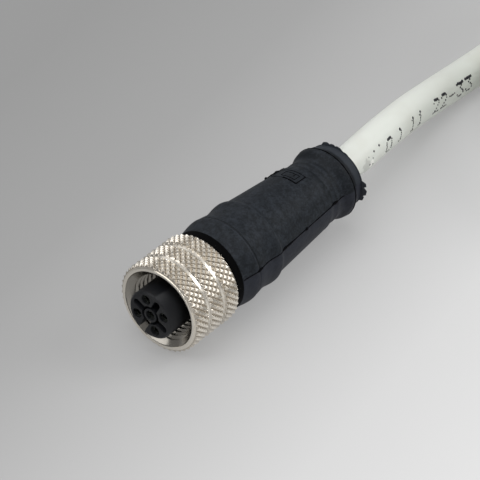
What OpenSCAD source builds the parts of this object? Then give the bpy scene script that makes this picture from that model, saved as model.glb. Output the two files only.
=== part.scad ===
// M12 circular connector, female, straight, moulded onto its cable
// The axis runs along Y: the mouth faces -Y, the cable leaves towards +Y, and the nut rests on Z = 0.
// Sizes along the axis start at the nut's front face.

/* [Coupling nut] */
// Length of the nut
nut_length = 10.4; // [9:0.1:13]
// Diameter over the knurl's crests
knurl_d = 15.6; // [15:0.1:18]
// Depth of the knurl from crest to crossing
knurl_depth = 0.3; // [0.1:0.05:0.4]
// Diamonds round the knurl
knurl_count = 43; // [24:1:60]
// Knurled bands along the nut
band_count = 3; // [1:1:4]
// Width of the smooth grooves between the bands
groove_w = 0.75; // [0.4:0.05:1]
// Depth of those grooves below the knurl's crossings
groove_depth = 0.1; // [0.05:0.05:0.2]
// Length of the smooth front rim
rim_length = 0.45; // [0.3:0.05:1]
// Fillet round the front rim
rim_fillet = 0.25; // [0.1:0.05:0.35]
// Diameter of the plain mouth in front of the thread
mouth_d = 13.3; // [12.4:0.1:13.6]
// Length of that mouth
mouth_length = 0.5; // [0.2:0.1:1]
// Chamfer at the nut's back edge
back_chamfer = 0.2; // [0.1:0.05:0.3]
// Nominal diameter of the inner thread
thread_d = 12; // [11.6:0.1:12.4]
// Pitch of the inner thread
thread_pitch = 1; // [0.75:0.25:1.25]
// Length of the inner collar that holds the nut on the body
collar_length = 1.5; // [1:0.1:2]

/* [Contact carrier] */
// Diameter of the carrier's nose
nose_d = 8.3; // [8:0.1:8.6]
// How far the nose stands out of the nut
nose_proud = 1.9; // [0.5:0.1:3]
// Edge chamfer on the nose
nose_chamfer = 0.25; // [0.1:0.05:0.4]
// Diameter of the circle on which the outer contacts lie
contact_circle_d = 5.5; // [5.2:0.1:5.6]
// Outer contacts on that circle
contact_count = 4; // [3:1:4]
// Angle of the first contact, from +X towards +Z
contact_angle = 18; // [0:1:89]
// Diameter of the contact holes in the face
hole_d = 1.65; // [1.3:0.05:1.75]
// Diameter of the round tube about the centre hole
centre_tube_d = 2.4; // [2.35:0.05:2.6]
// Width of the ring-shaped recess about that tube
recess_ring_w = 0.45; // [0.2:0.05:0.45]
// Width of the diagonal recesses between the contacts
recess_w = 1.2; // [0.6:0.05:1.3]
// How far out the recesses reach, as a diameter
recess_d = 7.1; // [6.4:0.1:7.4]
// Depth of the recesses in the face
recess_depth = 3; // [1:0.1:5]
// Width of the coding keyway
keyway_w = 1.2; // [0.8:0.05:1.3]
// Depth of the keyway from the nose's surface
keyway_depth = 0.9; // [0.5:0.05:1]
// Length of the keyway from the nose's face
keyway_length = 8; // [5:0.1:8.5]
// Diameter of the neck on which the nut turns
neck_d = 9.5; // [9.3:0.1:10]
// Length of the carrier's flange in front of the nut's collar
flange_length = 1; // [0.6:0.1:1.5]
// Length of the carrier inside the inner mould
carrier_tail = 2.5; // [2:0.1:3.5]

/* [Contacts] */
// Outer diameter of a contact's socket
socket_d = 1.9; // [1.7:0.05:2]
// Bore of a contact's socket
socket_bore_d = 1.05; // [1:0.05:1.2]
// Depth of that bore
socket_bore_depth = 6.5; // [4:0.1:7.5]
// How far the socket's mouth lies behind the carrier's face
socket_recess = 0.6; // [0.3:0.1:1.5]
// Width of the slit across a socket
slit_w = 0.25; // [0.15:0.05:0.4]
// Length of that slit
slit_length = 4.5; // [2:0.1:5.5]
// Diameter of the shoulder that locates a contact
shoulder_d = 2.2; // [2.1:0.05:2.3]
// Length of that shoulder
shoulder_length = 1; // [0.5:0.1:2]
// Diameter of the crimp tail
crimp_d = 1.7; // [1.4:0.05:1.9]
// Length of the crimp tail behind the carrier
crimp_length = 3.5; // [2:0.1:4.5]

/* [Seal] */
// Cord diameter of the O-ring
seal_cord_d = 1; // [0.8:0.05:1.1]
// Depth of the O-ring's seat on the nose
seal_seat_depth = 0.25; // [0.15:0.05:0.3]
// Free length in front of the O-ring on that seat
seal_seat_gap = 0.25; // [0.1:0.05:0.4]

/* [Inner mould] */
// Diameter of the visible flange at its front
mould_flange_d = 14.6; // [13:0.1:14.9]
// Diameter of the flange where the grip begins
mould_flange_back_d = 14.2; // [13:0.1:14.3]
// Length of that flange
mould_flange_length = 1.5; // [0.8:0.1:3]
// Diameter of the mould inside the grip
mould_d = 11.2; // [11:0.1:11.6]
// Length of its straight part inside the grip
mould_length = 11; // [10:0.1:12]
// Length of its cone onto the cable
mould_cone_length = 4; // [2:0.1:6]

/* [Grip] */
// Diameter at the grip's front edge
grip_front_d = 14.2; // [14.2:0.1:14.6]
// Diameter over the front swell
swell_d = 15; // [14.8:0.1:15.3]
// Length of the front swell, up to its crease
swell_length = 3.7; // [2.5:0.1:5]
// Diameter of the finger valley behind the swell
valley_d = 14.2; // [13.4:0.1:14.4]
// Distance from the crease to the second crest
valley_length = 5.6; // [4:0.1:7]
// Diameter over the second crest
crest_d = 14.76; // [14.5:0.02:15]
// Diameter where the straight taper begins
taper_front_d = 13.9; // [13.2:0.1:14.2]
// Diameter where the taper ends
taper_back_d = 11.8; // [11.4:0.1:12.4]
// Length of the taper
taper_length = 12.4; // [9:0.1:15]
// Diameter of the waist behind the taper
waist_d = 10.9; // [10.4:0.1:11.2]
// Length of the stepped waist
waist_length = 4.1; // [3:0.1:6]
// Height of the two soft rings on the waist
waist_ring_h = 0.12; // [0.05:0.01:0.2]
// Diameter over the bell
bell_d = 12.45; // [12:0.05:13.4]
// Length of the bell
bell_length = 2.7; // [2:0.1:4]
// Diameter of the end ring
end_ring_d = 10.9; // [9.6:0.1:11.4]
// Length of the end ring
end_ring_length = 2.85; // [1.5:0.05:4]
// Angle of the mould's parting line, from +X towards +Z
seam_angle = 11; // [0:1:60]
// Width of the parting line's rib
seam_w = 0.14; // [0.08:0.02:0.3]
// Height of the parting line's rib
seam_h = 0.06; // [0.04:0.01:0.12]
// Length of the raised frame on the taper
frame_length = 3.2; // [2:0.1:5]
// Width of that frame across the grip
frame_w = 5.6; // [3:0.1:7]
// Width of the frame's border
frame_border = 0.35; // [0.2:0.05:0.6]
// Height of the frame
frame_h = 0.12; // [0.08:0.02:0.2]
// Distance of the frame from the taper's back end
frame_inset = 0.6; // [0.3:0.1:2]
// Angle of the frame, from +X towards +Z
frame_angle = 101; // [80:1:130]

/* [Cable] */
// Outer diameter of the cable
cable_d = 5.8; // [5.6:0.1:6]
// Diameter of an insulated core
core_d = 1.2; // [1:0.05:1.25]
// Diameter of a core's conductor
conductor_d = 0.7; // [0.5:0.05:0.8]
// Diameter of the circle on which the outer cores lie in the cable
core_circle_d = 2.6; // [2.5:0.05:2.8]
// Length of the stripped leads at the far end
lead_length = 36; // [25:1:40]
// Length of the tinned tip on each lead
tip_length = 5; // [3:0.5:8]
// Turn radius at the middle of the coil
coil_r = 31.2; // [30.8:0.1:32]
// Angle that the coil's last turn covers, on top of the others
last_turn = 270; // [250:1:290]
// Distance by which neighbouring leads move apart at their tips
lead_fan = 0.5; // [0.3:0.05:0.6]

/* [Fits] */
// Running gap between the nut's collar and the neck
nut_gap = 0.1; // [0.1:0.01:0.2]
// Play of the nut along the axis, on each side
nut_play = 0.15; // [0.1:0.05:0.3]
// Gap between the carrier's flange and the thread's crests
flange_gap = 0.2; // [0.15:0.05:0.4]
// Gap between pieces that are pressed in or moulded over
mould_gap = 0.02; // [0.01:0.01:0.05]

/* [Hidden] */
$fn = 96;

// Places along the axis, from the nut's front face
nose_x = -nose_proud;
collar_x = nut_length - collar_length;
flange_back_x = collar_x - nut_play;
flange_x = flange_back_x - flange_length;
mould_x = nut_length + nut_play;
grip_x = mould_x + mould_flange_length;
carrier_back_x = grip_x + carrier_tail;
crimp_back_x = carrier_back_x + crimp_length;
cable_x = grip_x + mould_length + 2;
mould_back_x = grip_x + mould_length + mould_cone_length;
crease_x = grip_x + swell_length;
crest_x = crease_x + valley_length;
taper_x = crest_x + 0.7;
taper_back_x = taper_x + taper_length;
bell_x = taper_back_x + waist_length;
bell_rim_x = bell_x + bell_length;
grip_back_x = bell_rim_x + end_ring_length;
socket_x = nose_x + socket_recess;
shoulder_x = flange_x;
seal_seat_x = flange_x - seal_cord_d - seal_seat_gap;

// Radii
axis_h = knurl_d / 2;
crossing_r = knurl_d / 2 - knurl_depth;
groove_r = crossing_r - groove_depth;
thread_minor_r = thread_d / 2 - 0.54 * thread_pitch;
mouth_r = mouth_d / 2;
flange_r = thread_minor_r - flange_gap;
seal_seat_r = nose_d / 2 - seal_seat_depth;
collar_r = neck_d / 2 + nut_gap;
cable_r = cable_d / 2;
contact_r = contact_circle_d / 2;

contact_step = 360 / contact_count;
keyway_angle = contact_angle + 2.5 * contact_step;

// The cable's free route: points on its centreline, from the grip to the coil
coil_centre = [33.8, 87];
run_points = [
    [0, 23, 7.8], [-0.3, 27, 7.75], [-1.15, 33, 7.3], [-2.25, 40, 6.3], [-3.3, 47, 5.1],
    [-3.95, 54, 3.9], [-4.15, 61, 3.1], [-3.85, 68, 2.9], [-3.4, 77, 2.9], [-3.2, 87, 2.9]
];

lead_angle = 80 - last_turn;

// Puts a shape made along Z onto the connector's axis
module on_axis() {
    translate([0, -(grip_back_x + nose_x) / 2, axis_h])
        rotate([-90, 0, 0])
            children();
}

// Puts a shape at an angle round the axis, counted from +X towards +Z
module at_angle(angle, radius = 0) {
    rotate([0, 0, -angle])
        translate([radius, 0, 0])
            children();
}

// A solid of revolution from points [place along the axis, radius]
module turned(outline) {
    rotate_extrude()
        polygon([for (p = outline) [p[1], p[0]]]);
}

// A round bar along the axis between two places
module bar(from, to, d) {
    translate([0, 0, from])
        cylinder(h = to - from, d = d);
}

// Points on a curve that swells by a height between two places, as a half wave
function swell(x0, x1, r0, r1, steps) = [
    for (i = [0 : steps]) let (t = i / steps)
        [x0 + t * (x1 - x0), r0 + (r1 - r0) * (1 - cos(180 * t)) / 2]
];

// ---- Coupling nut

band_length = (nut_length - rim_length - back_chamfer - (band_count - 1) * groove_w) / band_count;
band_rows = max(2, round(band_length / (PI * knurl_d / knurl_count / 2)));
row_step = band_length / band_rows;
columns = 2 * knurl_count;

// One band of diamond knurl: crests and crossings take turns, as on a chessboard
module knurl_band(x) {
    inner_r = groove_r - 0.4;
    function ring(j, r_even, r_odd) = [
        for (i = [0 : columns - 1]) let (a = 90 + i * 360 / columns)
            let (r = (i + j) % 2 == 0 ? r_even : r_odd)
                [r * cos(a), r * sin(a), x + j * row_step]
    ];
    points = concat(
        [for (j = [0 : band_rows]) each ring(j, knurl_d / 2, crossing_r)],
        ring(band_rows, inner_r, inner_r),
        ring(0, inner_r, inner_r)
    );
    rings = band_rows + 3;
    function at(i, j) = (j % rings) * columns + i % columns;
    // each cell is split along the valley between its two crossings
    function cell(i, j) = (i + j) % 2 == 0
        ? [[at(i, j), at(i, j + 1), at(i + 1, j)], [at(i + 1, j), at(i, j + 1), at(i + 1, j + 1)]]
        : [[at(i, j), at(i, j + 1), at(i + 1, j + 1)], [at(i, j), at(i + 1, j + 1), at(i + 1, j)]];
    polyhedron(
        points = points,
        faces = [for (j = [0 : rings - 1], i = [0 : columns - 1]) each cell(i, j)],
        convexity = 6
    );
}

module coupling_nut() {
    color("gainsboro")
        on_axis()
            difference() {
                union() {
                    turned(concat(
                        [[0, 0], [0, groove_r - rim_fillet]],
                        [for (a = [15 : 15 : 75])
                            [rim_fillet * (1 - cos(a)), groove_r - rim_fillet * (1 - sin(a))]],
                        [
                            [rim_fillet, groove_r], [nut_length - back_chamfer, groove_r],
                            [nut_length, groove_r - back_chamfer], [nut_length, 0]
                        ]
                    ));
                    for (band = [0 : band_count - 1])
                        knurl_band(rim_length + band * (band_length + groove_w));
                }
                // plain mouth, countersink and threaded bore, then the collar's bore
                thread_x = mouth_length + mouth_r - thread_minor_r;
                turned([
                    [-1, 0], [-1, mouth_r], [mouth_length, mouth_r], [thread_x, thread_minor_r],
                    [collar_x, thread_minor_r], [collar_x, 0]
                ]);
                bar(collar_x - 1, nut_length + 1, 2 * collar_r);
            }
}

// ---- Contact carrier

// One diagonal recess in the face, with a round outer end
module recess_arm(angle, reach) {
    at_angle(angle) {
        translate([0, -recess_w / 2, nose_x - 1])
            cube([reach - recess_w / 2, recess_w, recess_depth + 1]);
        translate([reach - recess_w / 2, 0, nose_x - 1])
            cylinder(h = recess_depth + 1, d = recess_w);
    }
}

module contact_hole(angle, radius) {
    lead_in = 0.08;
    at_angle(angle, radius) {
        bar(nose_x - 1, socket_x + 1, hole_d);
        translate([0, 0, nose_x])
            cylinder(h = lead_in, d1 = hole_d + 2 * lead_in, d2 = hole_d);
        bar(socket_x, shoulder_x + 1, socket_d + 2 * mould_gap);
        bar(shoulder_x, carrier_back_x + 1, shoulder_d + 2 * mould_gap);
    }
}

module contact_carrier() {
    color("darkslategray")
        on_axis()
            difference() {
                turned([
                    [nose_x, 0], [nose_x, nose_d / 2 - nose_chamfer], [nose_x + nose_chamfer, nose_d / 2],
                    [seal_seat_x, nose_d / 2], [seal_seat_x, seal_seat_r],
                    [flange_x, seal_seat_r], [flange_x, flange_r], [flange_back_x, flange_r],
                    [flange_back_x, neck_d / 2], [carrier_back_x, neck_d / 2], [carrier_back_x, 0]
                ]);
                difference() {
                    union() {
                        for (k = [0 : contact_count - 1])
                            recess_arm(contact_angle + (k + 0.5) * contact_step, recess_d / 2);
                        bar(nose_x - 1, nose_x + recess_depth, centre_tube_d + 2 * recess_ring_w);
                    }
                    bar(nose_x - 2, nose_x + recess_depth + 1, centre_tube_d);
                }
                at_angle(keyway_angle)
                    translate([nose_d / 2 - keyway_depth, -keyway_w / 2, nose_x - 1])
                        cube([keyway_depth + 1, keyway_w, keyway_length + 1]);
                for (k = [0 : contact_count - 1])
                    contact_hole(contact_angle + k * contact_step, contact_r);
                contact_hole(0, 0);
            }
}

// ---- Contacts

module contact(angle, radius) {
    color("gold")
        on_axis()
            at_angle(angle, radius)
                difference() {
                    union() {
                        bar(socket_x, shoulder_x, socket_d);
                        bar(shoulder_x, shoulder_x + shoulder_length, shoulder_d);
                        bar(shoulder_x, crimp_back_x, crimp_d);
                    }
                    bar(socket_x - 1, socket_x + socket_bore_depth, socket_bore_d);
                    bar(crimp_back_x - crimp_length, crimp_back_x + 1, conductor_d + 0.1);
                    translate([-socket_d, -slit_w / 2, socket_x - 1])
                        cube([2 * socket_d, slit_w, slit_length + 1]);
                }
}

module outer_contact(k) {
    contact(contact_angle + k * contact_step, contact_r);
}

// ---- Seal

module o_ring() {
    color("firebrick")
        on_axis()
            translate([0, 0, flange_x - seal_cord_d / 2])
                rotate_extrude()
                    translate([seal_seat_r + mould_gap + seal_cord_d / 2, 0])
                        circle(d = seal_cord_d);
}

// ---- Inner mould

// An insulated core between the crimp and the cable, with flat ends, or the channel that it lies in
module core_path(angle, radius, d, from, to) {
    start = [radius, 0, crimp_back_x];
    end = [radius * core_circle_d / contact_circle_d, 0, cable_x];
    lean = atan2(start[0] - end[0], end[2] - start[2]);
    intersection() {
        at_angle(angle)
            translate(start)
                rotate([0, -lean, 0])
                    translate([0, 0, -2])
                        cylinder(h = end[2] - start[2] + 4, d = d);
        bar(from, to, 3 * contact_circle_d);
    }
}

module inner_mould() {
    channel_d = core_d + 2 * mould_gap;
    color("black")
        on_axis()
            difference() {
                turned([
                    [mould_x, 0], [mould_x, mould_flange_d / 2], [grip_x, mould_flange_back_d / 2],
                    [grip_x, mould_d / 2], [grip_x + mould_length, mould_d / 2],
                    [mould_back_x, cable_r + 0.8], [mould_back_x, 0]
                ]);
                bar(mould_x - 1, carrier_back_x, neck_d + 2 * mould_gap);
                bar(cable_x, mould_back_x + 1, cable_d + 2 * mould_gap);
                for (k = [0 : contact_count]) {
                    angle = contact_angle + k * contact_step;
                    radius = k < contact_count ? contact_r : 0;
                    core_path(angle, radius, channel_d, crimp_back_x - 0.5, cable_x + 0.5);
                    at_angle(angle, radius)
                        bar(carrier_back_x - 1, crimp_back_x, crimp_d + 2 * mould_gap);
                }
            }
}

// ---- Grip

// Outline of the grip from its front edge to the end ring, raised by a height
function grip_outline(raise) = [
    for (p = concat(
        swell(grip_x, crease_x - 0.4, grip_front_d / 2, swell_d / 2, 6),
        [[crease_x, swell_d / 2 - 0.04]],
        swell(crease_x + 0.1, crease_x + valley_length * 0.45, swell_d / 2 - 0.1, valley_d / 2, 6),
        swell(crease_x + valley_length * 0.5, crest_x - 0.3, valley_d / 2, crest_d / 2, 6),
        [[crest_x, crest_d / 2 - 0.03], [taper_x, taper_front_d / 2]],
        [[taper_back_x, taper_back_d / 2]],
        [for (t = [0.1 : 0.1 : 1]) [
            taper_back_x + t * waist_length,
            taper_back_d / 2 + (waist_d - taper_back_d) / 2 * sin(90 * min(1, t * 1.2))
                + waist_ring_h * pow(sin(360 * t), 2) * (t < 1 ? 1 : 0)
        ]],
        swell(bell_x + 0.1, bell_rim_x - 0.5, waist_d / 2, bell_d / 2 - 0.03, 6),
        [
            [bell_rim_x - 0.25, bell_d / 2], [bell_rim_x - 0.05, bell_d / 2 - 0.1],
            [bell_rim_x, end_ring_d / 2 - 0.1], [bell_rim_x + 0.15, end_ring_d / 2],
            [grip_back_x - 0.35, end_ring_d / 2 - 0.05], [grip_back_x, end_ring_d / 2 - 0.35]
        ]
    )) [p[0], p[1] + raise]
];

// The grip's full outline as a solid
module grip_body(raise) {
    outline = grip_outline(raise);
    turned(concat([[grip_x, 0]], outline, [[grip_back_x, 0]]));
}

// A raised rectangular frame on the taper, cut from a skin over the grip
module grip_frame() {
    intersection() {
        grip_body(frame_h);
        at_angle(frame_angle)
            translate([taper_back_d / 4, 0, taper_back_x - frame_inset - frame_length / 2])
                rotate([0, 90, 0])
                    linear_extrude(taper_front_d)
                        difference() {
                            square([frame_length, frame_w], center = true);
                            square([frame_length, frame_w] - 2 * frame_border * [1, 1], center = true);
                        }
    }
}

module grip() {
    color([0.2, 0.22, 0.24])
        on_axis()
            difference() {
                union() {
                    grip_body(0);
                    grip_frame();
                    // parting line of the mould, on both sides
                    intersection() {
                        grip_body(seam_h);
                        at_angle(seam_angle)
                            translate([-swell_d, -seam_w / 2, grip_x])
                                cube([2 * swell_d, seam_w, grip_back_x - grip_x]);
                    }
                }
                turned([
                    [grip_x - 1, 0], [grip_x - 1, mould_d / 2 + mould_gap],
                    [grip_x + mould_length, mould_d / 2 + mould_gap],
                    [mould_back_x, cable_r + 0.8 + mould_gap], [mould_back_x, 0]
                ]);
                bar(mould_back_x - 1, grip_back_x + 1, cable_d + 2 * mould_gap);
            }
}

// ---- Cores inside the connector

module core(tint, angle, radius) {
    color(tint)
        on_axis() {
            core_path(angle, radius, core_d, crimp_back_x, cable_x);
            at_angle(angle, radius)
                bar(crimp_back_x - crimp_length + 0.5, crimp_back_x + 0.1, conductor_d);
        }
}

module outer_core(tint, k) {
    core(tint, contact_angle + k * contact_step, contact_r);
}

// ---- Cable

module cable_end() {
    color("lightgray")
        on_axis()
            bar(cable_x, grip_back_x, cable_d);
}

// Tube of a radius swept along points, with a given number of sides; its start may be square to a direction
module tube(points, radius, sides, start = undef) {
    last = len(points) - 1;
    function along(i) = i == 0 && !is_undef(start)
        ? start
        : let (d = points[min(last, i + 1)] - points[max(0, i - 1)]) d / norm(d);
    function across(i) = let (c = cross(along(i), [0, 0, 1])) c / norm(c);
    rings = [
        for (i = [0 : last]) let (u = across(i), v = cross(u, along(i)))
            for (k = [0 : sides - 1]) let (a = k * 360 / sides)
                points[i] + radius * (cos(a) * u + sin(a) * v)
    ];
    side_faces = [
        for (i = [0 : last - 1], k = [0 : sides - 1]) let (m = (k + 1) % sides)
            [i * sides + k, i * sides + m, (i + 1) * sides + m, (i + 1) * sides + k]
    ];
    front = [for (k = [sides - 1 : -1 : 0]) k];
    back = [for (k = [0 : sides - 1]) last * sides + k];
    polyhedron(points = rings, faces = concat([front, back], side_faces), convexity = 4);
}

// Smooth curve through points: each stretch takes its slope from its neighbours
function smooth(points, steps) = let (last = len(points) - 1) [
    for (i = [0 : last - 1], s = [0 : steps - 1]) let (t = s / steps)
        let (p0 = points[max(0, i - 1)], p1 = points[i], p2 = points[i + 1], p3 = points[min(last, i + 2)])
            0.5 * (2 * p1 + (p2 - p0) * t + (2 * p0 - 5 * p1 + 4 * p2 - p3) * pow(t, 2)
                + (3 * p1 - p0 - 3 * p2 + p3) * pow(t, 3)),
    points[last]
];

module cable_run() {
    color("lightgray")
        tube(smooth(run_points, 2), cable_r, 10, [0, 1, 0]);
}

// Round side of the turn in a column and row of the coil's section, between two angles
function turn_side(column, row, from, to) = [
    for (k = [0 : 6]) let (a = from + k * (to - from) / 6)
        [column, row] * cable_d + cable_r * [cos(a), sin(a)]
];

// Three turns wide and three high; an inner turn and the last, shorter one lie on top
module cable_coil() {
    top = 2.5 * cable_d;
    color("lightgray")
        translate([coil_centre[0], coil_centre[1], cable_r]) {
            rotate_extrude()
                translate([coil_r - cable_d, 0])
                    polygon(concat(
                        turn_side(0, 0, 180, 270), turn_side(2, 0, 270, 360), turn_side(2, 2, 0, 90),
                        [[cable_r, top]], turn_side(0, 3, 0, 180)
                    ));
            rotate_extrude(angle = last_turn, start = lead_angle)
                translate([coil_r - cable_d, 0])
                    polygon(concat(
                        turn_side(1, 3, 0, 180),
                        [[cable_r - 0.5, 3 * cable_d], [cable_r - 0.5, top - 1], [3 * cable_r, top - 1]]
                    ));
        }
}

// ---- Stripped leads at the far end

// Place of a lead at a part of its length: they leave the jacket side by side and fan outwards
function lead_point(k, length) =
    let (t = length / lead_length, r = coil_r + (2.2 - k) * (core_d + 0.05) + (4 - k) * lead_fan * t)
    let (angle = lead_angle - (length + mould_gap) / coil_r * 180 / PI)
        [coil_centre[0] + r * cos(angle), coil_centre[1] + r * sin(angle),
            3 * cable_d + core_d / 2 + mould_gap];

module lead(tint, k) {
    color(tint)
        tube([for (t = [0 : 0.1 : 1]) lead_point(k, t * lead_length)], core_d / 2, 8);
}

module lead_tips() {
    color("silver")
        for (k = [0 : 4])
            tube([for (t = [0, 0.5, 1]) lead_point(k, lead_length + t * tip_length)],
                conductor_d / 2, 8);
}

coupling_nut();
contact_carrier();
outer_contact(0);  // contact_1
outer_contact(1);  // contact_2
outer_contact(2);  // contact_3
outer_contact(3);  // contact_4
contact(0, 0);  // contact_5
o_ring();
inner_mould();
grip();
outer_core("saddlebrown", 0);  // core_brown
outer_core("white", 1);  // core_white
outer_core("royalblue", 2);  // core_blue
outer_core("black", 3);  // core_black
core("gray", 0, 0);  // core_grey
cable_end();
cable_run();
cable_coil();
lead("saddlebrown", 0);  // lead_brown
lead("white", 1);  // lead_white
lead("royalblue", 2);  // lead_blue
lead("black", 3);  // lead_black
lead("gray", 4);  // lead_grey
lead_tips();
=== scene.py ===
import bmesh
import bpy
import math
import numpy as np
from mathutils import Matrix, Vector


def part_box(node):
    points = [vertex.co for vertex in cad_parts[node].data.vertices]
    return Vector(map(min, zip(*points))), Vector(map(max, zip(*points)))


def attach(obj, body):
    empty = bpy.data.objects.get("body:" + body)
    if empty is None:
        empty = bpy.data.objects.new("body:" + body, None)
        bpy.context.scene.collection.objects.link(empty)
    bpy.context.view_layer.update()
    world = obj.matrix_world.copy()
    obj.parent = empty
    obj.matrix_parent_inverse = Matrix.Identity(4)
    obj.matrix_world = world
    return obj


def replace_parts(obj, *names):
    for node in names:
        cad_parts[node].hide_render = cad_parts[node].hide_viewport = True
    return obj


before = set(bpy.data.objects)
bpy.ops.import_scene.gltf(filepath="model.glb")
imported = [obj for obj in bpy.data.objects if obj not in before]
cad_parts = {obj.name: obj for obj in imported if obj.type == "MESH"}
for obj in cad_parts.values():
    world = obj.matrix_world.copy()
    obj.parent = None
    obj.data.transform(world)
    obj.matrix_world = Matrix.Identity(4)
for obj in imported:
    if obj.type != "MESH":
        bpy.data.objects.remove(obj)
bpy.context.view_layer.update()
mm = 0.001
print("frame loaded:", len(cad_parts), "nodes")

# places on the connector, from the frame
nutLow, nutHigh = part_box("coupling_nut")
axisHeight = (nutLow.z + nutHigh.z) / 2
nutFront = nutLow.y


def onAxis(along, radius, angle):
    # millimetres behind the nut's front face and off the axis, and degrees from +X towards +Z
    turn = math.radians(angle)
    return Vector((radius * mm * math.cos(turn), nutFront + along * mm,
                   axisHeight + radius * mm * math.sin(turn)))


def behindNut(y):
    # millimetres behind the nut's front face, for a number or a Signal
    return (y - nutFront) / mm


def linked(name, data):
    # a new object in the scene
    made = bpy.data.objects.new(name, data)
    bpy.context.scene.collection.objects.link(made)
    return made


def aimed(name, data, place, direction):
    # a camera or a lamp that looks along a direction
    made = linked(name, data)
    made.location = place
    made.rotation_mode = "QUATERNION"
    made.rotation_quaternion = direction.to_track_quat("-Z", "Y")
    return made


view = {"azimuth": 39.2, "elevation": 38.2, "distance": 600, "lens": 289.125,
        "aim": (-0.181, -1.106, 1.232)}


def makeCamera():
    data = bpy.data.cameras.new("camera")
    data.sensor_width = 36
    data.lens = view["lens"]
    data.clip_start = 0.01
    data.clip_end = 20
    data.dof.use_dof = False
    turn = math.radians(view["azimuth"])
    lift = math.radians(view["elevation"])
    back = Vector((math.sin(turn) * math.cos(lift), -math.cos(turn) * math.cos(lift), math.sin(lift)))
    aim = Vector(view["aim"]) * mm + Vector((0, 0, axisHeight))
    place = aim + back * view["distance"] * mm
    bpy.context.scene.camera = aimed("camera", data, place, -back)


makeCamera()
print("camera placed")


class Signal:
    # a number inside a node tree; Python's operators on it add Math nodes
    def __init__(self, board, socket):
        self.board = board
        self.socket = socket

    def __add__(self, other):
        return self.board.maths("ADD", self, other)

    def __sub__(self, other):
        return self.board.maths("SUBTRACT", self, other)

    def __rsub__(self, other):
        return self.board.maths("SUBTRACT", other, self)

    def __mul__(self, other):
        return self.board.maths("MULTIPLY", self, other)

    def __truediv__(self, other):
        return self.board.maths("DIVIDE", self, other)

    def __rtruediv__(self, other):
        return self.board.maths("DIVIDE", other, self)

    def __lt__(self, other):
        return self.board.maths("LESS_THAN", self, other)

    def __gt__(self, other):
        return self.board.maths("GREATER_THAN", self, other)

    __radd__ = __add__
    __rmul__ = __mul__


class Board:
    # a node tree, with short words for its nodes
    def __init__(self, tree):
        self.tree = tree

    def node(self, kind, inputs=None, output=0, **settings):
        made = self.tree.nodes.new(kind)
        for key, value in settings.items():
            if key == "stops":
                elements = made.color_ramp.elements
                while len(elements) < len(value):
                    elements.new(0.5)
                for element, (place, color) in zip(elements, value):
                    element.position = place
                    element.color = color
            else:
                setattr(made, key, value)
        for key, value in (inputs or {}).items():
            if isinstance(value, Signal):
                self.tree.links.new(value.socket, made.inputs[key])
            else:
                made.inputs[key].default_value = value
        return Signal(self, made.outputs[output]) if made.outputs else None

    def maths(self, operation, first, second=0.0):
        return self.node("ShaderNodeMath", {0: first, 1: second}, operation=operation)

    def least(self, first, second):
        return self.maths("MINIMUM", first, second)

    def most(self, first, second):
        return self.maths("MAXIMUM", first, second)

    def absolute(self, value):
        return self.maths("ABSOLUTE", value)

    def length(self, first, second):
        return self.maths("SQRT", first * first + second * second)

    def clamped(self, value):
        return self.node("ShaderNodeClamp", {0: value})

    def scaled(self, vector, factor):
        return self.node("ShaderNodeVectorMath", {0: vector, "Scale": factor}, operation="SCALE")

    def parts(self, vector):
        split = self.node("ShaderNodeSeparateXYZ", {0: vector}).socket.node
        return [Signal(self, socket) for socket in split.outputs]

    def joined(self, x, y, z):
        return self.node("ShaderNodeCombineXYZ", {0: x, 1: y, 2: z})


def plainMesh(holder, name):
    # the holder's mesh with its modifiers applied; the holder goes
    graph = bpy.context.evaluated_depsgraph_get()
    mesh = bpy.data.meshes.new_from_object(holder.evaluated_get(graph), depsgraph=graph)
    mesh.name = name
    bpy.data.objects.remove(holder)
    return mesh


class Grower(Board):
    # a Geometry Nodes tree with named inputs, run once on a base mesh
    def __init__(self, name, values):
        super().__init__(bpy.data.node_groups.new(name, "GeometryNodeTree"))
        face = self.tree.interface
        for way in ("OUTPUT", "INPUT"):
            face.new_socket("Geometry", in_out=way, socket_type="NodeSocketGeometry")
        self.values = {}
        for key, value in values.items():
            number = isinstance(value, (int, float))
            kind = "NodeSocketFloat" if number else "NodeSocketMaterial"
            socket = face.new_socket(key, in_out="INPUT", socket_type=kind)
            self.values[socket.identifier] = float(value) if number else value
        entry = self.tree.nodes.new("NodeGroupInput")
        self.given = {socket.name: Signal(self, socket) for socket in entry.outputs if socket.name}

    def attribute(self, name, kind="FLOAT"):
        return self.node("GeometryNodeInputNamedAttribute", {"Name": name}, data_type=kind)

    def drawnOut(self, x, y, height, factor):
        # the geometry with its points' distances from the axis times a factor
        place = self.joined(x * factor, y, axisHeight + height * factor)
        return self.node("GeometryNodeSetPosition", {"Geometry": self.given["Geometry"], "Position": place})

    def grown(self, geometry, base, name):
        real = self.node("GeometryNodeRealizeInstances", {0: geometry})
        done = self.node("GeometryNodeSetMaterial", {"Geometry": real, "Material": self.given["Material"]})
        self.node("NodeGroupOutput", {0: done})
        holder = linked(name + "Base", base)
        modifier = holder.modifiers.new(name, "NODES")
        modifier.node_group = self.tree
        for identifier, value in self.values.items():
            modifier[identifier] = value
        return plainMesh(holder, name)


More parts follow.
